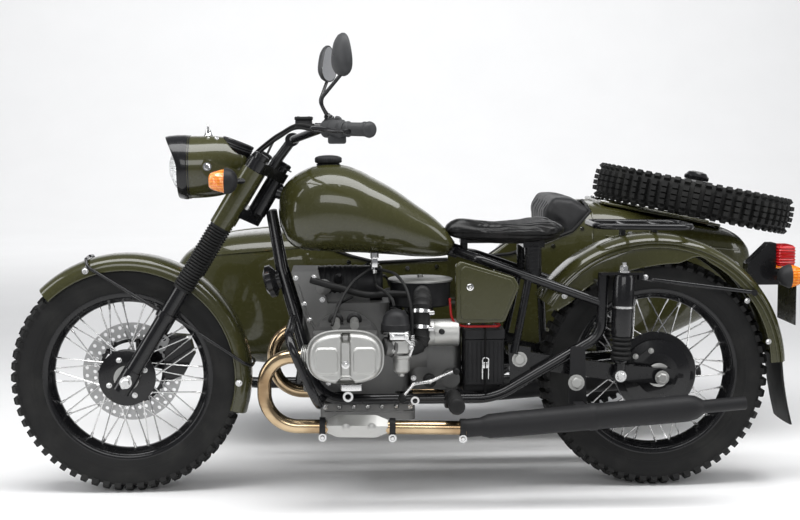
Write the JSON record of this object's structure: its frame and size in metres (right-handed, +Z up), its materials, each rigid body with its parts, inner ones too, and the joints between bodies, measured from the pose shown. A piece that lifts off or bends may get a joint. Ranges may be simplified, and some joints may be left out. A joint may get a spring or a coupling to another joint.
{
  "type": "sidecar motorcycle",
  "caption": "Flat-twin sidecar motorcycle with telescopic fork, wire wheels, tractor saddle, open sidecar body, trunk lid and spare wheel; rolls, steers and opens its trunk.",
  "frame": {"origin": "centre of the bounding box at ground level, under the three wheels", "axes": "+X towards the rear, +Y towards the sidecar side (the rider's right), +Z up"},
  "size_m": [2.4434, 1.6678, 1.2806],
  "materials": {
    "tyre_rubber": "matt moulded rubber",
    "soft_rubber": "satin rubber",
    "black_paint": "gloss",
    "olive_paint": "gloss",
    "bare_steel": "machined",
    "cast_alloy": "fine cast",
    "satin_alloy": "satin",
    "header_chrome": "heat tinted",
    "heat_black": "matt",
    "black_plastic": "satin",
    "clear_lens": "clear",
    "amber_lens": "gloss",
    "red_lens": "gloss",
    "saddle_leather": "worn satin",
    "seat_vinyl": "satin"
  },
  "bodies": {
    "chassis": {"mudflap": "soft_rubber", "frame": "black_paint", "saddle_mount": "black_paint", "swing_arm": "black_paint", "rear_brake": "black_paint", "rear_shocks": "black_paint", "luggage_rack": "black_paint", "tail_bracket": "black_paint", "foot_controls": "black_paint", "horn": "black_paint", "sidecar_frame": "black_paint", "sidecar_suspension": "black_paint", "fuel_tank": "olive_paint", "side_covers": "olive_paint", "rear_fender": "olive_paint", "sidecar_fender": "olive_paint", "sidecar_body": "olive_paint", "engine": "cast_alloy", "cylinders": "cast_alloy", "gearbox": "cast_alloy", "final_drive": "cast_alloy", "carburettors": "cast_alloy", "starter_motor": "cast_alloy", "valve_covers": "satin_alloy", "exhaust_headers": "header_chrome", "mufflers": "heat_black", "air_cleaner": "black_plastic", "battery": "black_plastic", "filler_cap": "black_plastic", "sidecar_lamp": "amber_lens", "tail_lamps": "red_lens", "rider_saddle": "saddle_leather", "sidecar_seat": "seat_vinyl"},
    "fork": {"fork_yokes": "black_paint", "fork_sliders": "black_paint", "fork_gaiters": "soft_rubber", "fork_shrouds": "olive_paint", "headlamp_shell": "olive_paint", "headlamp_rim": "black_paint", "headlamp_lens": "clear_lens", "front_indicators": "amber_lens", "handlebar": "black_paint", "hand_controls": "black_plastic", "mirrors": "black_plastic", "front_fender": "olive_paint", "brake_caliper": "black_paint"},
    "front_wheel_assembly": {"front_tyre": "tyre_rubber", "front_wheel": "black_paint", "brake_disc": "bare_steel"},
    "rear_wheel_assembly": {"rear_tyre": "tyre_rubber", "rear_wheel": "black_paint"},
    "sidecar_wheel_assembly": {"sidecar_tyre": "tyre_rubber", "sidecar_wheel": "black_paint"},
    "lid": {"trunk_lid": "olive_paint", "spare_tyre": "tyre_rubber", "spare_wheel": "black_paint"}
  },
  "joints": [
    {"name": "steering", "type": "hinge", "parent": "chassis", "child": "fork", "pos_m": [-0.49261, -0.40463, 0.84065], "axis": [0.5225, 0, 0.8526], "range_deg": [-35, 35]},
    {"name": "front_wheel_spin", "type": "hinge", "parent": "fork", "child": "front_wheel_assembly", "pos_m": [-0.88972, -0.40463, 0.332], "axis": [0, 1, 0], "continuous": true},
    {"name": "rear_wheel_spin", "type": "hinge", "parent": "chassis", "child": "rear_wheel_assembly", "pos_m": [0.62028, -0.40463, 0.332], "axis": [0, 1, 0], "continuous": true},
    {"name": "sidecar_wheel_spin", "type": "hinge", "parent": "chassis", "child": "sidecar_wheel_assembly", "pos_m": [0.59028, 0.74537, 0.332], "axis": [0, 1, 0], "continuous": true},
    {"name": "lid_hinge", "type": "hinge", "parent": "chassis", "child": "lid", "pos_m": [0.55228, 0.25037, 0.7876], "axis": [0, -1, 0], "range_deg": [0, 55]}
  ]
}
